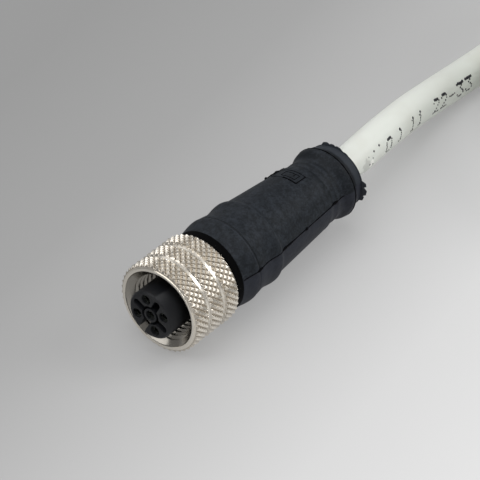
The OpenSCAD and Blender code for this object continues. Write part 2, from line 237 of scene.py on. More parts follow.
class Finish(Board):
    # one material with a Principled surface
    def __init__(self, name):
        self.material = bpy.data.materials.new(name)
        self.material.use_nodes = True
        self.material.node_tree.nodes.clear()
        super().__init__(self.material.node_tree)
        self.place = self.node("ShaderNodeTexCoord", output="Object")

    def mix(self, factor, first, second):
        return self.node("ShaderNodeMix", {0: factor, 6: first, 7: second}, 2, data_type="RGBA")

    def noise(self, scale, detail=2.0, roughness=0.5):
        return self.node("ShaderNodeTexNoise", {"Vector": self.place, "Scale": scale, "Detail": detail,
                                                "Roughness": roughness})

    def ramp(self, value, stops):
        return self.node("ShaderNodeValToRGB", {0: value}, stops=stops)

    def bump(self, height, distance, strength=1.0):
        return self.node("ShaderNodeBump", {"Height": height, "Distance": distance, "Strength": strength})

    def surface(self, **sockets):
        named = {key.replace("_", " "): value for key, value in sockets.items()}
        shader = self.node("ShaderNodeBsdfPrincipled", named)
        self.node("ShaderNodeOutputMaterial", {"Surface": shader})
        return self.material


def tone(color, factor=1.0):
    # a colour for a socket, lighter or darker by a factor
    return tuple(factor * part for part in color) + (1,)


def gray(value):
    return tone((value,) * 3)


def between(ends, share):
    low, high = ends
    return low + (high - low) * share


nickelFinish = {"color": (0.90, 0.86, 0.78), "tint": (0.80, 0.745, 0.66), "shadeTone": (0.45, 0.4, 0.335),
                "roughness": (0.14, 0.26), "dull": 0.1, "floorDull": 0.14, "clouds": 420, "specks": 3600,
                "crest": 7.8, "valley": 7.3, "depth": 0.4, "shadeShare": 0.75,
                "grooves": (3.475, 6.975), "grooveHalf": 0.24, "grooveEdge": 0.1, "grooveReach": 0.25}


def makeNickel(name, shade):
    # faint clouds; painted shade in the knurl's valleys and a painted shadow along the edges of the grooves,
    # whose floors are clean and a little duller; a shade under 1 gives a darker copy
    given = nickelFinish
    finish = Finish(name)
    cloud = finish.noise(given["clouds"], 3)
    speck = finish.noise(given["specks"], 2)
    x, y, z = finish.parts(finish.place)
    radius = finish.length(x, z - axisHeight) / mm
    outside = radius > given["valley"]
    paintedShade = finish.clamped((given["crest"] - radius) / given["depth"]) * outside
    floors = 0
    for middle in given["grooves"]:
        off = finish.absolute(behindNut(y) - middle)
        floors = floors + (off < given["grooveHalf"]) * outside
        # painted shadow: a dark strip along each edge of the groove
        edge = finish.clamped(1 - finish.absolute(off - given["grooveHalf"]) / given["grooveEdge"])
        clear = finish.clamped((off - given["grooveReach"]) / given["grooveReach"])
        paintedShade = finish.most(paintedShade * clear, edge * outside)
    plate = finish.mix(cloud, tone(given["color"], shade), tone(given["tint"], shade))
    color = finish.mix(given["shadeShare"] * paintedShade, plate, tone(given["shadeTone"], shade))
    dull = given["dull"] * paintedShade + given["floorDull"] * floors
    return finish.surface(Base_Color=color, Metallic=1.0, Normal=finish.bump(speck, 0.00001, 0.5),
                          Roughness=between(given["roughness"], cloud) + dull)


def makeMoulding(name, color, roughness, grain, depth, shine=0.5):
    # faint mottle and a fine grain, whose depth is in metres
    finish = Finish(name)
    mottle = finish.noise(260, 3)
    fine = finish.noise(grain, 2)
    lighter = tuple(min(1, 1.25 * part + 0.002) for part in color)
    return finish.surface(Base_Color=finish.mix(mottle, tone(color), tone(lighter)),
                          Roughness=roughness + 0.12 * mottle, Normal=finish.bump(fine, depth, 0.6),
                          Specular_IOR_Level=shine)


nylonFinish = {"color": (0.0056, 0.0066, 0.009), "mottleAndShade": (0.0026, 0.0026, 0.003), "face": 0.5, "fade": 0.8,
               "roughness": (0.42, 0.56), "shine": 0.32, "clouds": 300, "cloudShare": 0.3, "grain": 3000}


def makeNylon():
    # painted shade: the carrier darkens with depth behind its face, so its sides are darker than its face; a
    # faint mottle besides
    given = nylonFinish
    finish = Finish("nylon")
    cloud = finish.noise(given["clouds"], 3)
    x, y, z = finish.parts(finish.place)
    depthShade = finish.clamped((behindNut(y) - given["face"]) / given["fade"])
    mottleAndShade = finish.clamped(given["cloudShare"] * cloud + depthShade)
    return finish.surface(Base_Color=finish.mix(mottleAndShade, tone(given["color"]), tone(given["mottleAndShade"])),
                          Roughness=between(given["roughness"], cloud), Specular_IOR_Level=given["shine"],
                          Normal=finish.bump(finish.noise(given["grain"], 2), 0.00001, 0.6))


# dark and light are bands of (middle, half width, amount): dark is painted shade in the creases, between the
# waist's rings and under the bell's rim, light is painted highlight on the crests and edges; bell and endRing
# are (start, stop, amount)
gripFinish = {"color": (0.0050, 0.0072, 0.0102), "worn": (0.0215, 0.0265, 0.0345),
              "violetLitTone": (0.0185, 0.0195, 0.0315), "bloomed": (0.038, 0.043, 0.053),
              "roughness": (0.5, 0.66), "shine": 0.2, "seam": 12.5, "litLowerShare": 0.3, "violetLitShare": 0.45,
              "bloomShare": 0.5, "paleShare": 0.42, "clouds": (240, 0.8), "blotches": (950, 2.4),
              "speckle": (3200, 1.9), "flecks": (1300, 0.7), "fleckLimit": 0.76,
              "dark": [(15.78, 0.26, 1.0), (36.2, 0.3, 0.4), (37.35, 0.3, 0.4), (38.5, 0.35, 0.35),
                       (42.1, 0.45, 1.2)],
              "light": [(43.9, 0.25, 0.6), (15.45, 0.16, 0.45), (21.4, 0.22, 0.6), (36.8, 0.3, 0.25),
                        (37.9, 0.3, 0.25)],
              "bell": (38.9, 41.9, 0.3), "endRing": (42.2, 44.6, 0.5)}


def makeGrip():
    # bloom, blotches and speckle; painted shade in the creases, between the waist's rings and under the
    # bell's rim, painted highlights on the crests; the mould's lower half is painted lighter and more violet,
    # as painted light
    given = gripFinish
    finish = Finish("gripMoulding")
    cloud = finish.noise(given["clouds"][0], 5, 0.6)
    blotch = finish.noise(given["blotches"][0], 4, 0.65)
    speckle = finish.noise(given["speckle"][0], 2, 0.6)
    fleck = finish.clamped(12 * (finish.noise(given["flecks"][0], 1) - given["fleckLimit"]))
    x, y, z = finish.parts(finish.place)
    along = behindNut(y)
    turn = finish.maths("ARCTAN2", z - axisHeight, x) * (180 / math.pi)
    # painted light: the half below the seam is painted lighter and more violet
    litLowerHalf = (turn < given["seam"]) * (turn > given["seam"] - 180)
    # worn sums the random mottle and flecks with painted light: the lit lower half and the painted shade and
    # highlight bands
    worn = given["paleShare"] + given["litLowerShare"] * litLowerHalf + given["flecks"][1] * fleck
    for pattern, key in ((cloud, "clouds"), (blotch, "blotches"), (speckle, "speckle")):
        worn = worn + given[key][1] * (pattern - 0.5)
    for key, sign in (("dark", -1), ("light", 1)):
        for middle, half, amount in given[key]:
            worn = worn + sign * amount * finish.clamped(1 - finish.absolute(along - middle) / half)
    for key, sign in (("bell", -1), ("endRing", 1)):
        start, stop, amount = given[key]
        within = finish.clamped(2 * (along - start)) * finish.clamped(2 * (stop - along))
        worn = worn + sign * amount * within
    shade = finish.mix(finish.clamped(worn), tone(given["color"]), tone(given["worn"]))
    bloom = given["bloomShare"] * finish.clamped(2 * (along - given["endRing"][0]))
    shade = finish.mix(bloom, shade, tone(given["bloomed"]))
    return finish.surface(Base_Color=finish.mix(given["violetLitShare"] * litLowerHalf, shade, tone(given["violetLitTone"])),
                          Roughness=between(given["roughness"], cloud), Specular_IOR_Level=given["shine"],
                          Normal=finish.bump(speckle + 2 * blotch, 0.00004, 0.7))


# scuff and smear: reach in millimetres, colour, and how much of it shows
cableFinish = {"color": (0.795, 0.82, 0.765), "soiled": (0.73, 0.74, 0.68), "soil": (0.45, 0.8),
               "roughness": (0.34, 0.46), "clouds": 150, "ragged": 1400, "grain": 2600,
               "smear": (1.5, (0.3, 0.3, 0.28), 0.35), "scuff": (0.8, (0.95, 0.95, 0.9), 1)}


def makeCable(scuff, smear):
    # faint stains, and a bright scuff and a grey smear, each near its own point
    given = cableFinish
    finish = Finish("cableJacket")
    cloud = finish.noise(given["clouds"], 4)
    ragged = finish.noise(given["ragged"], 3)
    clean, soiled = given["soil"]
    shade = finish.mix(finish.ramp(cloud, [(clean, gray(0)), (soiled, gray(1))]), tone(given["color"]),
                       tone(given["soiled"]))
    for place, key in ((smear, "smear"), (scuff, "scuff")):
        reach, color, share = given[key]
        far = finish.node("ShaderNodeVectorMath", {0: finish.place, 1: place}, "Value",
                          operation="DISTANCE")
        near = finish.clamped(5 * (1 - far / (reach * mm) - 1.1 * (ragged - 0.35)))
        shade = finish.mix(near * share, shade, tone(color))
    return finish.surface(Base_Color=shade, Roughness=between(given["roughness"], cloud),
                          Normal=finish.bump(finish.noise(given["grain"], 2), 0.000008, 0.5))


def makeMetal(name, color, roughness):
    finish = Finish(name)
    cloud = finish.noise(900, 2)
    return finish.surface(Base_Color=finish.mix(cloud, tone(color), tone(color, 0.7)), Metallic=1.0,
                          Roughness=roughness + 0.15 * cloud)


nickel = makeNickel("nickel", 1)
# a darker copy of the nickel: painted shade for the nut's bore and mouth
nickelBore = makeNickel("nickelBore", 0.42)
nylon = makeNylon()
gripMoulding = makeGrip()
# the inner mould behind the nut: black plastic made darker and duller still, as painted shade
hardMoulding = makeMoulding("hardMoulding", (0.0011, 0.0011, 0.0013), 0.6, 2400, 0.000008, 0.02)
tornMoulding = makeMoulding("tornMoulding", (0.038, 0.043, 0.052), 0.6, 2600, 0.00003, 0.2)
# near black, for the mould's lines and for the painted shadow ring under the bell's rim
flashMoulding = makeMoulding("flashMoulding", (0.0018, 0.0018, 0.0024), 0.7, 3000, 0.00001, 0.04)
redRubber = makeMoulding("redRubber", (0.42, 0.03, 0.025), 0.45, 2400, 0.00001)
ink = makeMoulding("printInk", (0.015, 0.015, 0.02), 0.5, 2600, 0.000004)
gold = makeMetal("goldFlash", (0.42, 0.45, 0.4), 0.2)
tinned = makeMetal("tinnedCopper", (0.74, 0.74, 0.75), 0.3)
coreColors = {"brown": (0.16, 0.055, 0.02), "white": (0.78, 0.78, 0.75), "blue": (0.02, 0.09, 0.42),
              "black": (0.015, 0.015, 0.016), "grey": (0.27, 0.27, 0.28)}
coreFinish = {name: makeMoulding(name + "Core", color, 0.35, 2400, 0.000004)
              for name, color in coreColors.items()}
print("finishes made")


def newMesh(name, points, edges=(), faces=(), values=None):
    # values are attributes of the points: numbers or directions
    mesh = bpy.data.meshes.new(name)
    mesh.from_pydata(points, edges, faces)
    for key, column in (values or {}).items():
        kind, field = ("FLOAT", "value") if np.ndim(column) == 1 else ("FLOAT_VECTOR", "vector")
        mesh.attributes.new(key, kind, "POINT").data.foreach_set(field, np.ravel(column))
    mesh.update()
    return mesh


def placeMesh(mesh, body, sharpAngle=None):
    # a smooth piece on a body; edges past an angle in degrees stay sharp
    mesh.polygons.foreach_set("use_smooth", [True] * len(mesh.polygons))
    if sharpAngle:
        mesh.set_sharp_from_angle(angle=math.radians(sharpAngle))
    piece = linked(mesh.name, mesh)
    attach(piece, body)
    return piece


def makePiece(name, points, faces, material):
    mesh = newMesh(name, points, (), faces)
    mesh.materials.append(material)
    return placeMesh(mesh, "plug")


def catmull(points, steps):
    # each stretch takes its slope from its neighbours, as in the part's source
    last = len(points) - 1
    curve = []
    for i in range(last):
        p0, p1, p2, p3 = (np.array(points[k]) for k in (max(0, i - 1), i, i + 1, min(last, i + 2)))
        for s in range(steps):
            t = s / steps
            curve.append(0.5 * (2 * p1 + (p2 - p0) * t + (2 * p0 - 5 * p1 + 4 * p2 - p3) * t ** 2
                                + (3 * p1 - p0 - 3 * p2 + p3) * t ** 3))
    curve.append(np.array(points[last], float))
    return curve


def crossways(path):
    # the level direction across a path and the upward one, at each point
    ahead = np.gradient(path, axis=0)
    ahead /= np.linalg.norm(ahead, axis=1)[:, None]
    across = np.cross(ahead, (0, 0, 1))
    across /= np.linalg.norm(across, axis=1)[:, None]
    return across, np.cross(across, ahead)


def ringFaces(count, sides, closed=False, diagonal=None):
    # quads between rings of points, in halves where a diagonal is given
    faces = []
    for i in range(count if closed else count - 1):
        for k in range(sides):
            m, n = (i + 1) % count, (k + 1) % sides
            a, b, c, d = i * sides + k, m * sides + k, m * sides + n, i * sides + n
            if diagonal is None:
                faces.append((a, b, c, d))
            elif diagonal(i, k):
                faces += [(a, b, c), (a, c, d)]
            else:
                faces += [(a, b, d), (b, c, d)]
    return faces


def tubeMesh(path, radius, sides):
    # rings along a path, with a flat face at each end
    path = np.array(path, float)
    across, up = crossways(path)
    points = []
    for centre, side, top in zip(path, across, up):
        for k in range(sides):
            turn = 2 * math.pi * k / sides
            points.append(centre + radius * (math.sin(turn) * side + math.cos(turn) * top))
    faces = ringFaces(len(path), sides)
    faces.append(tuple(range(sides)))
    last = (len(path) - 1) * sides
    faces.append(tuple(last + k for k in reversed(range(sides))))
    return points, faces


# the route's points are those of the part's source, in millimetres
cable = {"diameter": 5.8, "length": 2000, "turnRadius": 31.2, "coilCentre": (33.8, 87), "sides": 36,
         "runSteps": 8, "turnStep": 4, "pinch": 0.7, "pinchLength": 7, "pinchAt": (1.0, 88), "nearRings": 120,
         "facing": 51.2274, "scuffAt": (6.0, 56), "smearAt": (4.4, 50)}
runPoints = [(0, 23, 7.8), (-0.3, 27, 7.75), (-1.15, 33, 7.3), (-2.25, 40, 6.3), (-3.3, 47, 5.1),
             (-3.95, 54, 3.9), (-4.15, 61, 3.1), (-3.85, 68, 2.9), (-3.4, 77, 2.9), (-3.2, 87, 2.9)]


def coilPath():
    # rows of three turns, one over the other, and the last turn on top; each move in the section has its
    # own stretch of the round, so that turns never meet
    d = cable["diameter"]
    places = [(0, 0), (1, 0), (2, 0), (2, 1), (1, 1), (0, 1), (0, 2), (1, 2), (2, 2), (2, 3), (1, 3)]
    moves = list(zip(places, places[1:], [310, 670, 990, 1310, 1670, 2000, 2335, 2695, 3022, 3350],
                     [100, 100, 90, 100, 100, 80, 100, 100, 90, 80]))
    run = catmull(runPoints, cable["runSteps"])
    path = []
    progress = 0
    length = sum(np.linalg.norm(b - a) for a, b in zip(run, run[1:]))
    while length < cable["length"]:
        column, row = 0, 0
        for (oldColumn, oldRow), (newColumn, newRow), middle, width in moves:
            t = min(1, max(0, (progress - middle) / width + 0.5))
            ease = (1 - math.cos(math.pi * t)) / 2
            column += (newColumn - oldColumn) * ease
            row += (newRow - oldRow) * ease
        radius = cable["turnRadius"] + (1 - column) * d
        turn = math.radians(180 - progress)
        point = np.array((cable["coilCentre"][0] + radius * math.cos(turn),
                          cable["coilCentre"][1] + radius * math.sin(turn), d / 2 + row * d))
        if path:
            length += np.linalg.norm(point - path[-1])
        path.append(point)
        progress += cable["turnStep"]
    return run[:-1] + path


cablePath = coilPath()
cablePoints = [tuple(p * mm) for p in cablePath]
nearPath = np.array(cablePath[:cable["nearRings"]])
runLength = np.concatenate(([0], np.cumsum(np.linalg.norm(np.diff(nearPath, axis=0), axis=1))))


def onCable(along, angle):
    # a point on the jacket and the way out of it; the angle counts from the side that faces the view
    centre, before, after = (np.array([np.interp(along + step, runLength, nearPath[:, i]) for i in range(3)])
                             for step in (0, -0.3, 0.3))
    ahead = (after - before) / np.linalg.norm(after - before)
    turn = math.radians(cable["facing"] - angle)
    outward = np.array((math.cos(turn), 0, math.sin(turn)))
    outward -= ahead * np.dot(outward, ahead)
    outward /= np.linalg.norm(outward)
    return (centre + outward * cable["diameter"] / 2) * mm, outward


def pinch(points):
    # the jacket is squeezed flat on one side where the moulding grips it
    outward = onCable(*cable["pinchAt"])[1]
    span = cable["pinchLength"]
    for i, centre in enumerate(cablePath):
        if i >= len(runLength) or runLength[i] > span:
            break
        depth = cable["pinch"] * math.cos(math.pi / 2 * runLength[i] / span) ** 2 * mm
        for k in range(i * cable["sides"], (i + 1) * cable["sides"]):
            over = np.dot(points[k] - centre * mm, outward) - (cable["diameter"] / 2 * mm - depth)
            if over > 0:
                points[k] = points[k] - over * outward
    return points


cableJacket = makeCable(tuple(onCable(*cable["scuffAt"])[0]), tuple(onCable(*cable["smearAt"])[0]))
cableRings, cableFaces = tubeMesh(cablePoints, cable["diameter"] / 2 * mm, cable["sides"])
cableTube = makePiece("cableTube", pinch(cableRings), cableFaces, cableJacket)
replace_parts(cableTube, "cable_run", "cable_coil")
print("cable made")

# print on the jacket: plain numbers in dots; worn lists the columns that a number has lost, and loose
# the single dots as (along, angle, size)
printed = {"dot": 0.155, "height": 0.03, "column": 0.4, "row": 6.9, "firstRow": 25, "drift": 0.4,
           "slant": 0.07, "heavy": 1.55, "seed": 12, "jitter": (0.035, 0.8), "uneven": (0.85, 1.15),
           "glyphs": [("0", 11.9), ("0", 15.2), ("1", 20.2), ("1", 22.8), ("2", 28.3), ("2", 30.8),
                      ("-", 33.3), ("3", 35.8), ("3", 38.3)],
           "worn": {15.2: (0, 1, 2)},
           "loose": [(5.3, 26, 0.7), (7.0, 22, 1.3), (8.8, 21, 1.2), (6.3, 40, 0.7), (5.4, 54, 1.1),
                     (6.3, 62, 0.8)]}
# each number's rows from the top, as five bits each
dotRows = {"0": (14, 17, 17, 17, 17, 17, 14), "1": (4, 12, 4, 4, 4, 4, 14), "2": (14, 17, 1, 2, 4, 8, 31),
           "3": (31, 2, 4, 2, 1, 17, 14), "-": (0, 0, 0, 31, 0, 0, 0)}


def printSpots():
    # each dot: along, angle, size
    spots = list(printed["loose"])
    for glyph, middle in printed["glyphs"]:
        first = printed["firstRow"] - printed["drift"] * (middle - printed["glyphs"][0][1])
        for row, bits in enumerate(dotRows[glyph]):
            for column in range(5):
                if bits >> (4 - column) & 1 and column not in printed["worn"].get(middle, ()):
                    spots.append((middle + (column - 2) * printed["column"] - row * printed["slant"],
                                  first + row * printed["row"], printed["heavy"] if row == 0 else 1.0))
    return spots


def makePrint():
    chance = np.random.default_rng(printed["seed"])
    alongJitter, angleJitter = printed["jitter"]
    points, outward, girth = [], [], []
    for along, angle, size in printSpots():
        place, normal = onCable(along + chance.normal(0, alongJitter), angle + chance.normal(0, angleJitter))
        points.append(place)
        outward.append(normal)
        girth.append(size * chance.uniform(*printed["uneven"]))
    base = newMesh("printBase", points, values={"outward": outward, "girth": girth})
    grower = Grower("printDots", {"Dot radius": printed["dot"], "Dot height": printed["height"],
                                  "Material": ink})
    given = grower.given
    dot = grower.node("GeometryNodeMeshCylinder", {"Vertices": 10, "Radius": given["Dot radius"] * mm,
                                                   "Depth": given["Dot height"] * mm})
    turned = grower.node("FunctionNodeAlignRotationToVector",
                         {"Vector": grower.attribute("outward", "FLOAT_VECTOR")}, axis="Z")
    spread = grower.node("GeometryNodeInstanceOnPoints",
                         {"Points": given["Geometry"], "Instance": dot, "Rotation": turned,
                          "Scale": grower.attribute("girth")})
    return placeMesh(grower.grown(spread, base, "printDots"), "plug")


printDots = makePrint()

# the stripped leads and their tips; pitch and fan are the leads' distance on the turn below and how far
# it grows, settle the length over which they come down onto it
leads = {"length": 36, "tip": 5, "core": 1.2, "strand": 0.24, "lay": 9, "pitch": 1.25, "fan": 0.5,
         "circle": 1.3, "first": 2.2, "settle": 10, "gap": 0.03, "inside": 0.5}


def leadPath(k, start, stop, steps):
    # out of the jacket's end and down onto the turns under it, spreading outwards
    d = cable["diameter"]
    end = np.array(cablePath[-1])
    centre = np.array((*cable["coilCentre"], 0))
    startAngle = math.atan2(*(end - centre)[1::-1])
    bundle = math.radians(90 * k + 45)
    own = leads["circle"] * (0 if k == 4 else 1)
    path = []
    for i in range(steps):
        length = start + (stop - start) * i / (steps - 1)
        spread = (leads["first"] - k) * leads["pitch"] + (4 - k) * leads["fan"] * length / leads["length"]
        t = min(1, max(0, length) / leads["settle"])
        ease = t * t * (3 - 2 * t)
        offset = own * math.cos(bundle) * (1 - ease) + spread * ease
        rests = []
        for near in np.linspace(-0.5, 0.5, 7):
            off = (offset + near + d / 2) % d - d / 2
            rests.append(math.sqrt((d / 2 + leads["core"] / 2 + leads["gap"]) ** 2 - off ** 2))
        bundled = end[2] + own * math.sin(bundle)
        settled = end[2] - d + max(np.mean(rests), rests[3])
        radius = cable["turnRadius"] + offset
        turn = startAngle - length / cable["turnRadius"]
        path.append((centre + (radius * math.cos(turn), radius * math.sin(turn),
                               bundled * (1 - ease) + settled * ease)) * mm)
    return path


def strandPath(path, turnShift):
    # one strand of a twisted tip, wound round its path
    path = np.array(path)
    side, top = crossways(path)
    turn = np.linspace(0, 2 * math.pi * leads["tip"] / leads["lay"], len(path))[:, None] + turnShift
    return path + leads["strand"] * mm * (np.cos(turn) * side + np.sin(turn) * top)


tipPoints, tipFaces = [], []
for k, tint in enumerate(coreColors):
    points, faces = tubeMesh(leadPath(k, -leads["inside"], leads["length"], 40), leads["core"] / 2 * mm, 14)
    lead = makePiece("lead" + tint.capitalize(), points, faces, coreFinish[tint])
    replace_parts(lead, "lead_" + tint)
    tipPath = leadPath(k, leads["length"] - leads["inside"], leads["length"] + leads["tip"], 12)
    for strand in [tipPath] + [strandPath(tipPath, i * math.pi / 3) for i in range(6)]:
        points, faces = tubeMesh(strand, leads["strand"] / 2 * mm, 8)
        tipFaces += [tuple(v + len(tipPoints) for v in face) for face in faces]
        tipPoints += points
leadTips = makePiece("leadTips", tipPoints, tipFaces, tinned)
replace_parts(leadTips, "lead_tips")
print("leads made")


def ringMesh(name, rings, columns, diagonal=None, values=None):
    # a closed solid of revolution from (along, radius) points: outside to the back, then back inside
    turn = np.arange(columns) * 2 * math.pi / columns
    along, radius = np.array(rings).T[:, :, None] * mm
    points = np.stack((radius * np.cos(turn), nutFront + along + 0 * turn,
                       axisHeight + radius * np.sin(turn)), axis=2)
    faces = ringFaces(len(rings), columns, True, diagonal)
    spread = {key: np.repeat(column, columns) for key, column in (values or {}).items()}
    return newMesh(name, points.reshape(-1, 3), (), faces, spread)


# bands are the knurl's; a diamond takes perDiamond columns round the nut and as many rows along it
nut = {"length": 10.4, "rim": 7.16, "mouth": 6.66, "mouthLength": 0.08, "edge": 0.07,
       "edgeMiddle": (0.015, 0.02), "backEdge": (0.1, 0.14), "backRing": 6.2, "collar": 8.9,
       "collarRadius": 4.85, "collarEdge": 0.1,
       "grooveRadius": 7.36, "diamonds": 43, "perDiamond": 8, "step": 0.15, "knurlStart": 0.25,
       "bands": [(0.25, 3.15), (3.8, 6.65), (7.3, 10.2)], "edgeSlope": 2.6, "knurlBase": 0.02,
       "knurlDepth": 0.49, "crestFlat": 0.85, "minor": 5.46, "pitch": 1.0, "threadDepth": 0.52,
       "threadEnd": 7.2, "threadStep": 0.1, "runOut": 0.5, "reliefRing": 8.0, "flankSlope": 1.33,
       "flankFlat": 0.18, "boreLimit": 6.6, "shadedBoreLimit": 6.62, "sharp": 20}


def nutRings():
    # each ring: along, radius, room for the knurl over the groove, share of the thread
    mouth, rim, edge = nut["mouth"], nut["rim"], nut["edge"]
    inward, down = nut["edgeMiddle"]
    front = [(0.05, mouth), (inward, mouth + down), (0, mouth + edge), (0, (mouth + rim) / 2),
             (0, rim - edge), (inward, rim - down), (0.06, rim), (0.18, rim)]
    rings = [(*ring, 0, 0) for ring in front]
    firstKnurl = len(rings)
    rows = round((nut["bands"][-1][1] - nut["knurlStart"]) / nut["step"])
    for j in range(rows + 1):
        x = nut["knurlStart"] + j * nut["step"]
        room = max(min(x - start, stop - x) for start, stop in nut["bands"]) + 0.001
        rings.append((x, nut["grooveRadius"], max(0, room * nut["edgeSlope"] + nut["knurlBase"]), 0))
    back, bore, edge = nut["length"], nut["collarRadius"], nut["collarEdge"]
    inward, down = nut["backEdge"]
    behind = [(back - inward, nut["grooveRadius"]), (back, nut["grooveRadius"] - down),
              (back, nut["backRing"]), (back, bore + edge), (back - edge, bore),
              ((back - edge + nut["collar"]) / 2, bore), (nut["collar"], bore),
              (nut["collar"], nut["minor"]), (nut["reliefRing"], nut["minor"])]
    rings += [(*ring, 0, 0) for ring in behind]
    x = nut["threadEnd"]
    while x > nut["mouthLength"] + 0.4 * nut["threadStep"]:
        countersink = mouth - x + nut["mouthLength"]
        rings.append((x, max(nut["minor"], countersink), 0, min(1, (nut["threadEnd"] - x) / nut["runOut"])))
        x -= nut["threadStep"]
    rings.append((nut["mouthLength"], mouth - 0.015, 0, 0))
    return rings, firstKnurl, rows


def makeNut():
    rings, firstKnurl, rows = nutRings()
    columns = nut["diamonds"] * nut["perDiamond"]
    half = nut["perDiamond"] // 2

    def splitsAlong(i, k):
        # faces are split along the diamonds' edges
        row = i - firstKnurl
        return (row // half + k // half) % 2 == 1 if 0 <= row < rows else True

    base = ringMesh("nutBase", [ring[:2] for ring in rings], columns, splitsAlong,
                    {"knurlRoom": [ring[2] for ring in rings], "threadShare": [ring[3] for ring in rings]})
    grower = Grower("nutSurface", {"Knurl base": nut["knurlBase"], "Knurl depth": nut["knurlDepth"],
                                   "Crest flat": nut["crestFlat"], "Diamonds": nut["diamonds"],
                                   "Row length": nut["perDiamond"] * nut["step"],
                                   "Thread depth": nut["threadDepth"], "Thread pitch": nut["pitch"],
                                   "Material": nickel})
    given = grower.given
    x, y, z = grower.parts(grower.node("GeometryNodeInputPosition"))
    height = z - axisHeight
    along = behindNut(y)
    turn = grower.maths("ARCTAN2", height, x) / (2 * math.pi)
    rowPhase = (along - nut["knurlStart"]) / given["Row length"]

    def wedge(phase):
        return grower.absolute(grower.maths("FRACT", phase) - 0.5) * 2.0

    columnPhase = turn * given["Diamonds"]
    crest = grower.least(wedge(columnPhase + rowPhase), wedge(columnPhase - rowPhase))
    crest = grower.least(crest, given["Crest flat"])
    knurl = grower.least(given["Knurl base"] + given["Knurl depth"] * crest, grower.attribute("knurlRoom"))
    # a 60 degree thread that runs to the right: flat at its crests, narrower flats at its roots
    flank = grower.clamped(nut["flankSlope"] * wedge(along / given["Thread pitch"] + turn) - nut["flankFlat"])
    thread = given["Thread depth"] * flank * grower.attribute("threadShare")
    radius = grower.length(x, height)
    reach = grower.most(radius, nut["minor"] * mm + thread * mm)
    inside = radius < nut["boreLimit"] * mm
    factor = (inside * reach + (1 - inside) * radius + knurl * mm) / radius
    mesh = grower.grown(grower.drawnOut(x, y, height, factor), base, "nutBody")
    # faces nearer the axis than the limit take the darker nickel, painted shade in the bore and mouth
    mesh.materials.append(nickelBore)
    for face in mesh.polygons:
        off = math.hypot(face.center.x, face.center.z - axisHeight)
        face.material_index = int(off < nut["shadedBoreLimit"] * mm)
    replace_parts(placeMesh(mesh, "nut", nut["sharp"]), "coupling_nut")


makeNut()
print("nut made")

grip = {"front": 12.05, "frontD": 14.2, "swellD": 15, "swellLength": 3.7, "valleyD": 14.2,
        "valleyLength": 5.6, "crestD": 14.76, "crestLength": 0.7, "taperFrontD": 13.9, "taperBackD": 11.8,
        "taperLength": 12.4, "waistD": 10.9, "waistLength": 4.1, "ringHeight": 0.12, "bellD": 12.45,
        "bellLength": 2.7, "endRingD": 10.9, "endRingLength": 2.85, "columns": 224, "sharp": 50,
        "wall": 5.62, "coneStart": 23.05, "coneEnd": 27.05, "coneEndRadius": 3.72, "cableHole": 2.92}


def halfWave(x0, x1, r0, r1, steps):
    # a smooth step of (along, radius) points between two places and radii
    return [(x0 + i / steps * (x1 - x0), r0 + (r1 - r0) * (1 - math.cos(math.pi * i / steps)) / 2)
            for i in range(steps + 1)]


def gripOutline():
    # (along, radius) points over the outside, front to back
    front, swell, valley, crest, bell, ring = (
        grip[key] / 2 for key in ("frontD", "swellD", "valleyD", "crestD", "bellD", "endRingD"))
    taperFront, taperBack, waist = (grip[key] / 2 for key in ("taperFrontD", "taperBackD", "waistD"))
    stretches = [grip[key + "Length"] for key in ("swell", "valley", "crest", "taper", "waist", "bell",
                                                  "endRing")]
    start, crease, crestAt, taperAt, waistAt, bellAt, rimAt, back = np.cumsum([grip["front"]] + stretches)
    outline = [(start, front - 0.12), (start + 0.04, front - 0.03)]
    outline += halfWave(start + 0.12, crease - 0.4, front, swell, 16)
    outline += [(crease - 0.2, swell - 0.01), (crease - 0.07, swell - 0.05), (crease, swell - 0.13),
                (crease + 0.05, swell - 0.16)]
    outline += halfWave(crease + 0.14, crease + grip["valleyLength"] * 0.45, swell - 0.12, valley, 14)
    outline += halfWave(crease + grip["valleyLength"] * 0.5, crestAt - 0.35, valley, crest, 14)
    outline += [(crestAt - 0.15, crest - 0.005), (crestAt + 0.05, crest - 0.06),
                (crestAt + 0.3, crest - 0.22), (taperAt - 0.1, taperFront + 0.08),
                (taperAt + 0.15, taperFront - 0.005)]
    outline += [(taperAt + grip["taperLength"] * t, taperFront + (taperBack - taperFront) * t)
                for t in np.linspace(0.04, 0.97, 30)]
    for t in np.linspace(0.02, 1, 26):
        radius = taperBack + (waist - taperBack) * math.sin(math.pi / 2 * min(1, t * 1.2))
        rings = grip["ringHeight"] * math.sin(2 * math.pi * t) ** 2
        outline.append((waistAt + t * grip["waistLength"], radius + rings))
    outline += halfWave(bellAt + 0.1, rimAt - 0.5, waist, bell - 0.03, 16)
    outline += [(rimAt - 0.32, bell), (rimAt - 0.18, bell - 0.02), (rimAt - 0.07, bell - 0.08),
                (rimAt - 0.02, bell - 0.2), (rimAt - 0.01, ring + 0.2), (rimAt + 0.02, ring - 0.14),
                (rimAt + 0.1, ring - 0.16), (rimAt + 0.22, ring - 0.02), (rimAt + 0.4, ring)]
    outline += [(rimAt + t, ring) for t in np.linspace(0.6, grip["endRingLength"] - 0.6, 6)]
    outline += [(back - 0.35, ring - 0.04), (back - 0.15, ring - 0.14), (back - 0.04, ring - 0.3),
                (back, ring - 0.5)]
    return outline


gripEdge = gripOutline()


def makeGripBody():
    back, hole = gripEdge[-1][0], grip["cableHole"]
    inner = [(back, hole + 0.1), (back - 0.1, hole), (grip["coneEnd"] + 0.1, hole),
             (grip["coneEnd"], grip["coneEndRadius"]), (grip["coneStart"], grip["wall"]),
             (grip["front"], grip["wall"])]
    mesh = ringMesh("gripBody", gripEdge + inner, grip["columns"])
    mesh.materials.append(gripMoulding)
    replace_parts(placeMesh(mesh, "plug", grip["sharp"]), "grip")
